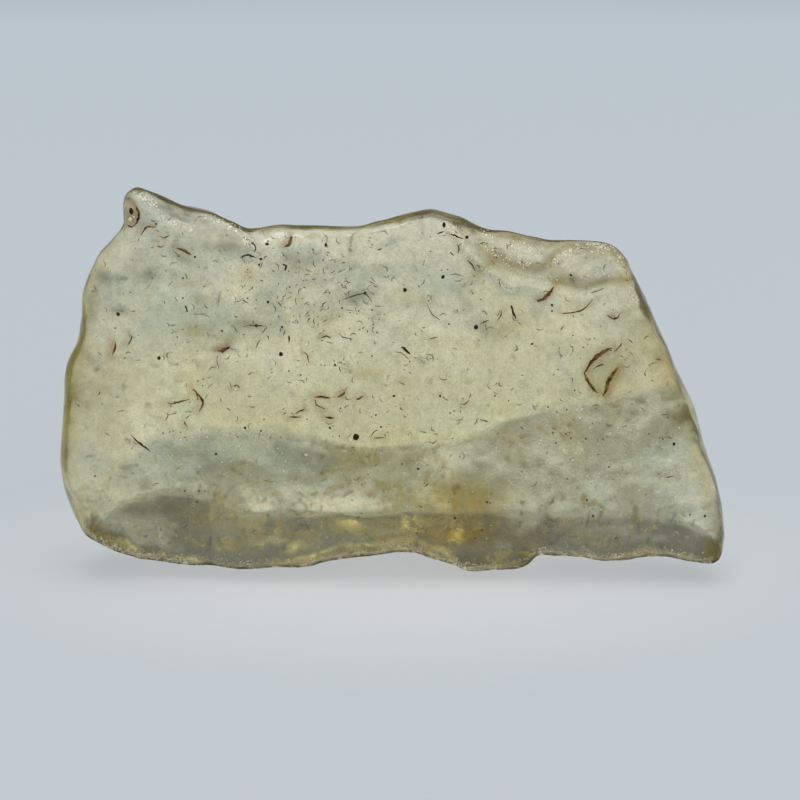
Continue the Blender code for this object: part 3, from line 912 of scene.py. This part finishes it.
def crack_clay():
    """Brown clay, dried in the crescent cracks: matte, from near black to tan."""
    return mottled_fill("clay_in_cracks", 0.35, "#33250F", "#806439", 0.85)


def crack_shadow():
    """Open cracks, blackened inside by iron and manganese crust: fine dark lines."""
    return mottled_fill("dark_crack_crust", 0.3, "#2E200F", "#523C20", 0.8)


def healed_crack():
    """Old closed cracks that show as fine grey-olive lines."""
    return mottled_fill("healed_crack_lines", 0.3, "#6F6C52", "#98947A", 0.5)


def underside_sand():
    """Pale desert sand, caked onto the underside by damp: a dry, grainy edge."""
    return mottled_fill("caked_desert_sand", 0.8, "#B5AA8C", "#E6DCC2", 0.95)


def ochre_and_painted_glow():
    """Pale ochre grains on the back, partly a dried crust and partly a painted warm glow seen through the
    glass.
    """
    return mottled_fill("ochre_and_painted_glow", 0.6, "#EFD9A6", "#FFF4D8", 0.9)


def pit_dirt():
    """Black-brown dirt packed into pinhead pits: small dark dots."""
    return mottled_fill("dirt_in_pits", 0.15, "#24170A", "#402C14", 0.9)


def chips_and_painted_glints():
    """Tiny pale chips and grains, most of them painted glints: pale specks put where highlights show."""
    return mottled_fill("pale_grains_and_painted_glints", 0.2, "#E9DFC4", "#FFFDF2", 0.3)


def mottled_fill(name, size_mm, dark, light, roughness):
    """An opaque fill that varies between two colours over about size_mm."""
    made, tree = material(name)
    where = node(tree, "ShaderNodeTexCoord").outputs["Object"]
    field = node(tree, "ShaderNodeTexNoise", {"Vector": where, "Scale": 1.0 / (size_mm * MM)}).outputs["Fac"]
    mix = node(tree, "ShaderNodeMapRange", {"Value": field, "From Min": FILL_BLEND[0],
                                            "From Max": FILL_BLEND[1]}).outputs[0]
    colour = node(tree, "ShaderNodeMix", {"Factor": mix, "A": paint(dark), "B": paint(light)},
                  data_type="RGBA").outputs["Result"]
    shader = node(tree, "ShaderNodeBsdfPrincipled", {"Base Color": colour, "Roughness": roughness,
                                                     "Specular IOR Level": FILL_SHINE}).outputs["BSDF"]
    node(tree, "ShaderNodeOutputMaterial", {"Surface": shader})
    return made


def graduated_paper():
    """Matte studio paper with a painted glow that lightens the stone's shadow, painted lighter near the
    stone, and a painted pool of light behind it.
    """
    made, tree = material("studio_paper_painted_glow")
    where = node(tree, "ShaderNodeTexCoord").outputs["Object"]
    reach = node(tree, "ShaderNodeVectorMath", {0: where}, operation="LENGTH").outputs["Value"]
    tones = node(tree, "ShaderNodeValToRGB", {"Fac": reach})
    stops = tones.color_ramp.elements
    stops.remove(stops[1])
    stops[0].position, stops[0].color = PAPER[0][0], paint(PAPER[0][1])
    for place, colour in PAPER[1:]:
        stops.new(place).color = paint(colour)
    (x, y), (wide, deep), pale = PAINTED_LIGHT_SPOT
    offset = node(tree, "ShaderNodeVectorMath", {0: where, 1: (x, y, 0.0)}, operation="SUBTRACT")
    scaled = node(tree, "ShaderNodeVectorMath", {0: offset.outputs[0], 1: (1 / wide, 1 / deep, 0.0)},
                  operation="MULTIPLY")
    away = node(tree, "ShaderNodeVectorMath", {0: scaled.outputs[0]}, operation="LENGTH").outputs["Value"]
    spot = node(tree, "ShaderNodeMapRange", {"Value": away, "From Min": SPOT_EDGE[0],
                                             "From Max": SPOT_EDGE[1]},
                interpolation_type="SMOOTHSTEP").outputs[0]
    tone = node(tree, "ShaderNodeMix", {"Factor": spot, "A": tones.outputs["Color"], "B": paint(pale)},
                data_type="RGBA").outputs["Result"]
    lit = node(tree, "ShaderNodeVectorMath", {0: tone, "Scale": PAPER_SHARE}, operation="SCALE").outputs[0]
    shader = node(tree, "ShaderNodeBsdfPrincipled", {
        "Base Color": lit, "Roughness": PAPER_ROUGHNESS, "Emission Color": tone,
        "Emission Strength": PAINTED_PAPER_GLOW}).outputs["BSDF"]
    node(tree, "ShaderNodeOutputMaterial", {"Surface": shader})
    return made


# The stone as an object

def link(thing):
    """Puts an object into the scene."""
    bpy.context.scene.collection.objects.link(thing)
    return thing


def build_stone():
    """The stone above its ground point, kept to the solid's box, and how far it was shifted."""
    stone = link(bpy.data.objects.new("stone_skin", stone_mesh()))
    verts = np.array([vert.co[:] for vert in stone.data.vertices])
    middle = (verts.min(0) + verts.max(0)) / 2.0
    shift = Vector((-middle[0], -middle[1], 0.0))
    verts = np.clip(verts + np.array(shift), cad_low, cad_high)
    stone.data.vertices.foreach_set("co", verts.ravel())
    stone.data.materials.append(frosted_desert_glass())
    return stone, shift


# Marks

def photo_ray(px, py):
    """The camera's place and the direction in which it sees a pixel of the photograph."""
    camera = bpy.context.scene.camera
    reach = SENSOR_MM / LENS_MM
    way = Vector(((px / FRAME_PX - 0.5) * reach, (0.5 - py / FRAME_PX) * reach, -1.0))
    return camera.location, (camera.rotation_euler.to_matrix() @ way).normalized()


def spot_at(skin, px, py):
    """Where a pixel of the photograph falls on the stone, and the skin's normal there."""
    place, normal, _, _ = skin.ray_cast(*photo_ray(px, py))
    return None if place is None else (place, normal)


def behind_at(skin, px, py):
    """Where the view through a pixel leaves the stone at its back, and the skin's normal there."""
    spot = spot_at(skin, px, py)
    if spot is None:
        return None
    place, normal = spot
    way = photo_ray(px, py)[1]
    bend = 1.0 / GLASS_IOR
    cosine = -way.dot(normal)
    way = way * bend + normal * (bend * cosine - math.sqrt(1.0 - bend * bend * (1.0 - cosine * cosine)))
    far, out, _, _ = skin.ray_cast(place + way * RAY_STEP, way)
    return None if far is None else (far, out)


def inside_box(place):
    """The place, moved into the solid's box if it's outside it."""
    return Vector([min(max(value, low + BOX_GAP), high - BOX_GAP)
                   for value, low, high in zip(place, cad_low, cad_high)])


def add_crack(bm, spots, width, dice):
    """A tapered, ragged blade along the spots: a little proud of the skin, and deep in the glass."""
    slant = dice.uniform(-CRACK_SLANT, CRACK_SLANT)
    rings = []
    last = len(spots) - 1
    for index, (place, normal) in enumerate(spots):
        ahead = (spots[min(index + 1, last)][0] - spots[max(index - 1, 0)][0]).normalized()
        side = normal.cross(ahead).normalized()
        swell = math.sin(math.pi * (CRACK_BLUNT + (1.0 - 2.0 * CRACK_BLUNT) * index / last)) ** CRACK_SWELL
        half = width * MM * swell * dice.uniform(*CRACK_UNEVEN) / 2.0
        place = place + side * half * dice.uniform(-CRACK_WANDER, CRACK_WANDER)
        deep = half * CRACK_DEPTH
        lift = normal * PROUD * MM
        corners = (side * half - lift * EDGE_SUNK, lift, -side * half - lift * EDGE_SUNK,
                   side * slant * deep - normal * deep)
        rings.append([bm.verts.new(inside_box(place + corner)) for corner in corners])
    for ring, following in zip(rings, rings[1:]):
        for k in range(4):
            bm.faces.new((ring[k], ring[k - 3], following[k - 3], following[k]))
    bm.faces.new(rings[0][::-1])
    bm.faces.new(rings[-1])


def round_lump():
    """The points and faces of a ball with 20 sides and a radius of 1."""
    bm = bmesh.new()
    bmesh.ops.create_icosphere(bm, subdivisions=1, radius=1.0)
    points = [vert.co.copy() for vert in bm.verts]
    faces = [[vert.index for vert in face.verts] for face in bm.faces]
    bm.free()
    return points, faces


def add_grain(bm, place, normal, size, dice):
    """A small uneven lump, half sunk in the skin."""
    turn = normal.to_track_quat("Z", "Y").to_matrix()
    stretch = Vector((1.0, dice.uniform(*GRAIN_WIDTHS), GRAIN_HEIGHT)) * size * MM / 2.0
    spin = Matrix.Rotation(dice.uniform(0.0, math.pi), 3, "Z")
    verts = []
    points, faces = BALL
    for point in points:
        lump = spin @ (point * stretch) * dice.uniform(*GRAIN_UNEVEN)
        verts.append(bm.verts.new(inside_box(place + turn @ lump - normal * size * MM * GRAIN_SUNK)))
    for corners in faces:
        bm.faces.new([verts[index] for index in corners])


def short_course(dice, length):
    """A short bent line around the origin, as flat points."""
    turn, bend = dice.uniform(0.0, 2.0 * math.pi), dice.uniform(-SMALL_BEND, SMALL_BEND)
    ahead = Vector((math.cos(turn), math.sin(turn)))
    across = Vector((-math.sin(turn), math.cos(turn)))
    return [ahead * length * t + across * length * bend * (1.0 - 4.0 * t * t) for t in (-0.5, 0.0, 0.5)]


def placed_marks(skin, lists):
    """The marks that were read from the photograph one by one."""
    dice = random.Random(SEEDS["placed"])
    for kind, cracks in (("clay", CLAY_CRACKS), ("dark", DARK_CRACKS), ("faint", FAINT_CRACKS)):
        for width, course in cracks:
            pixels = rounded_course(course, CRACK_STEP * PX_PER_MM)
            spots = [spot for spot in (spot_at(skin, *pixel) for pixel in pixels) if spot]
            add_crack(lists[kind], spots, width, dice)
    for kind, grains in (("pit", PITS), ("painted_glint_grain", PAINTED_GLINT_SPOTS)):
        for px, py, size in grains:
            add_grain(lists[kind], *spot_at(skin, px, py), size, dice)


def add_small_mark(bm, kind, spot_near, size, dice):
    """One small crack or grain, where spot_near gives the skin near an offset in millimetres."""
    if kind in ("pit", "painted_glint_grain"):
        spot = spot_near(Vector((0.0, 0.0)))
        if spot:
            add_grain(bm, *spot, size, dice)
        return
    course = rounded_course(short_course(dice, dice.uniform(*SMALL_CRACK)), CRACK_STEP)
    spots = [spot_near(point) for point in course]
    if all(spots):
        add_crack(bm, spots, size, dice)


def front_marks(skin, lists):
    """Seeded small marks on the front, as dense as the photograph shows them."""
    dice = random.Random(SEEDS["front"])
    for kind, (x0, y0, x1, y1), count, (thin, wide) in SCATTERED:
        for _ in range(count):
            px, py = dice.uniform(x0, x1), dice.uniform(y0, y1)
            add_small_mark(lists[kind], kind,
                           lambda off: spot_at(skin, px + off.x * PX_PER_MM, py + off.y * PX_PER_MM),
                           dice.uniform(thin, wide), dice)


def painted_glints(skin, bm):
    """Pale grains along the lines where highlights run: painted glints."""
    dice = random.Random(SEEDS["painted_glints"])
    for count, spread, course in PAINTED_GLINT_LINES:
        line = rounded_course(course, 1.0)
        for _ in range(count):
            middle = dice.choice(line)
            spot = spot_at(skin, middle.x + dice.gauss(0, spread), middle.y + dice.gauss(0, spread))
            if spot:
                add_grain(bm, *spot, dice.uniform(*PAINTED_GLINT_SIZES), dice)


def marks_behind(skin, lists):
    """Seeded dirt and stain on the back, where it shows through the stone."""
    dice = random.Random(SEEDS["behind"])
    for kind, (x, y), (wide, high), count, sizes in BEHIND:
        for _ in range(count):
            spot = behind_at(skin, dice.gauss(x, wide), dice.gauss(y, high))
            if spot:
                add_grain(lists[kind], *spot, dice.uniform(*sizes), dice)


def underside_grains(skin, bm):
    """Sand caked on where the stone faces down, also between its two resting spots."""
    dice = random.Random(SEEDS["sand"])
    for _ in range(SAND_COUNT):
        start = Vector((dice.uniform(cad_low[0], cad_high[0]), dice.uniform(cad_low[1], cad_high[1]), -MM))
        place, normal, _, _ = skin.ray_cast(start, Vector((0.0, 0.0, 1.0)))
        if place is not None and normal.z < SAND_FROM:
            add_grain(bm, place, normal, dice.uniform(*SAND_SIZES), dice)


def edge_sand(skin, bm):
    """Sand caught along the lower front edge, thinning out upwards."""
    dice = random.Random(SEEDS["edge sand"])
    (left, right), start, deep, count, sizes = EDGE_SAND
    columns = range(left, right, EDGE_STEP)
    edge = [next(py for py in range(start, 0, -1) if spot_at(skin, px, py)) for px in columns]
    for _ in range(count):
        px = dice.uniform(left, right)
        spot = spot_at(skin, px, np.interp(px, columns, edge) - abs(dice.gauss(0.0, deep / 2.0)))
        if spot:
            add_grain(bm, *spot, dice.uniform(*sizes), dice)


def side_marks(skin, lists):
    """Seeded small marks on the back, the sides and the top."""
    dice = random.Random(SEEDS["sides"])
    middle = Vector((0.0, 0.0, SIDE_MIDDLE))
    wide, high = SIDE_AIM
    for kind, count in SIDE_MARKS.items():
        for _ in range(count):
            outward = Vector((dice.gauss(0, 1), abs(dice.gauss(0, 1)), dice.gauss(0, 1))).normalized()
            target = middle + Vector((dice.uniform(-wide, wide), 0.0, dice.uniform(-high, high))) * MM
            place, normal, _, _ = skin.ray_cast(target + outward * RAY_START, -outward)
            if place is None or normal.y < SIDE_FACING or place.z < SIDE_LOWEST:
                continue
            right = normal.orthogonal().normalized()
            up = normal.cross(right)
            add_small_mark(lists[kind], kind,
                           lambda off: skin.find_nearest(place + (right * off.x + up * off.y) * MM)[:2],
                           dice.uniform(*SIDE_SIZES), dice)


def build_marks(stone):
    """All marks, one object for each kind."""
    skin = BVHTree.FromPolygons([vert.co for vert in stone.data.vertices],
                                [face.vertices for face in stone.data.polygons])
    kinds = {"clay": crack_clay(), "dark": crack_shadow(), "faint": healed_crack(),
             "pit": pit_dirt(), "dark_dirt": pit_dirt(), "painted_glint_grain": chips_and_painted_glints(),
             "ochre": ochre_and_painted_glow(), "sand": underside_sand()}
    lists = {kind: bmesh.new() for kind in kinds}
    placed_marks(skin, lists)
    front_marks(skin, lists)
    painted_glints(skin, lists["painted_glint_grain"])
    marks_behind(skin, lists)
    underside_grains(skin, lists["sand"])
    edge_sand(skin, lists["sand"])
    side_marks(skin, lists)
    for kind, look in kinds.items():
        mesh = bpy.data.meshes.new("marks_" + kind)
        bmesh.ops.recalc_face_normals(lists[kind], faces=lists[kind].faces)
        lists[kind].to_mesh(mesh)
        lists[kind].free()
        mesh.materials.append(look)
        piece = link(bpy.data.objects.new("marks_" + kind, mesh))
        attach(piece, "root")


# Floor, camera and lights

def build_floor():
    """A wide sheet of paper under the stone."""
    bm = bmesh.new()
    bmesh.ops.create_grid(bm, x_segments=2, y_segments=2, size=FLOOR_HALF)
    mesh = bpy.data.meshes.new("floor")
    bm.to_mesh(mesh)
    bm.free()
    floor = link(bpy.data.objects.new("floor", mesh))
    mesh.materials.append(graduated_paper())


def build_camera(shift):
    """The camera square to the slab, so that it frames the stone as the photograph does."""
    lean = math.radians(LEAN_DEG)
    aim_u = (FRAME_PX / 2 - ZERO_PX[0]) / PX_PER_MM
    aim_v = (ZERO_PX[1] - FRAME_PX / 2) / PX_PER_MM
    aim = Vector(slab_to_world(np.array([[aim_u, aim_v, AIM_W]]))[0]) + shift
    frame_width = FRAME_PX / PX_PER_MM * MM
    ahead = Vector((0.0, math.cos(lean), -math.sin(lean)))
    data = bpy.data.cameras.new("camera")
    data.lens, data.sensor_width = LENS_MM, SENSOR_MM
    data.clip_start, data.clip_end = CAMERA_RANGE
    camera = link(bpy.data.objects.new("camera", data))
    camera.location = aim - ahead * (frame_width * LENS_MM / SENSOR_MM)
    camera.rotation_euler = ahead.to_track_quat("-Z", "Y").to_euler()
    bpy.context.scene.camera = camera


def area_light(name, place, target, size, power, colour):
    """A flat lamp at a place, turned to its target."""
    data = bpy.data.lights.new(name, "AREA")
    data.shape, data.size, data.size_y = "RECTANGLE", size[0], size[1]
    data.energy, data.color = power, paint(colour)[:3]
    light = link(bpy.data.objects.new(name, data))
    light.location = place
    light.rotation_euler = (Vector(target) - Vector(place)).to_track_quat("-Z", "Y").to_euler()


def build_world():
    """A dim room with a pale backdrop low behind the stone and a lighter ceiling."""
    world = bpy.data.worlds.new("studio")
    world.use_nodes = True
    tree = world.node_tree
    way = node(tree, "ShaderNodeTexCoord").outputs["Generated"]
    parts = node(tree, "ShaderNodeSeparateXYZ", {"Vector": way}).outputs
    masks = []
    for axis, (start, end) in (("Y", BACKDROP_SIDES), ("Z", BACKDROP_TOP), ("Z", CEILING_EDGE)):
        masks.append(node(tree, "ShaderNodeMapRange", {"Value": parts[axis], "From Min": start,
                                                       "From Max": end},
                          interpolation_type="SMOOTHSTEP").outputs[0])
    behind, low, high = masks
    backdrop = node(tree, "ShaderNodeMath", {0: behind, 1: low}, operation="MULTIPLY").outputs[0]
    room = node(tree, "ShaderNodeMix", {"Factor": backdrop, "A": ROOM, "B": BACKDROP},
                data_type="RGBA").outputs["Result"]
    sky = node(tree, "ShaderNodeMix", {"Factor": high, "A": room, "B": CEILING}, data_type="RGBA")
    tree.links.new(sky.outputs["Result"], tree.nodes["Background"].inputs["Color"])
    bpy.context.scene.world = world


def build_lights():
    """The room's light and the lamps."""
    build_world()
    for name, lamp in LAMPS.items():
        area_light(name, *lamp)


# The scene, in the order in which it is built

BALL = round_lump()
stone, shift = build_stone()
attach(stone, "root")
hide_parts(NODE)
build_floor()
build_camera(shift)
build_marks(stone)
build_lights()
bpy.context.scene.view_settings.view_transform = "Standard"
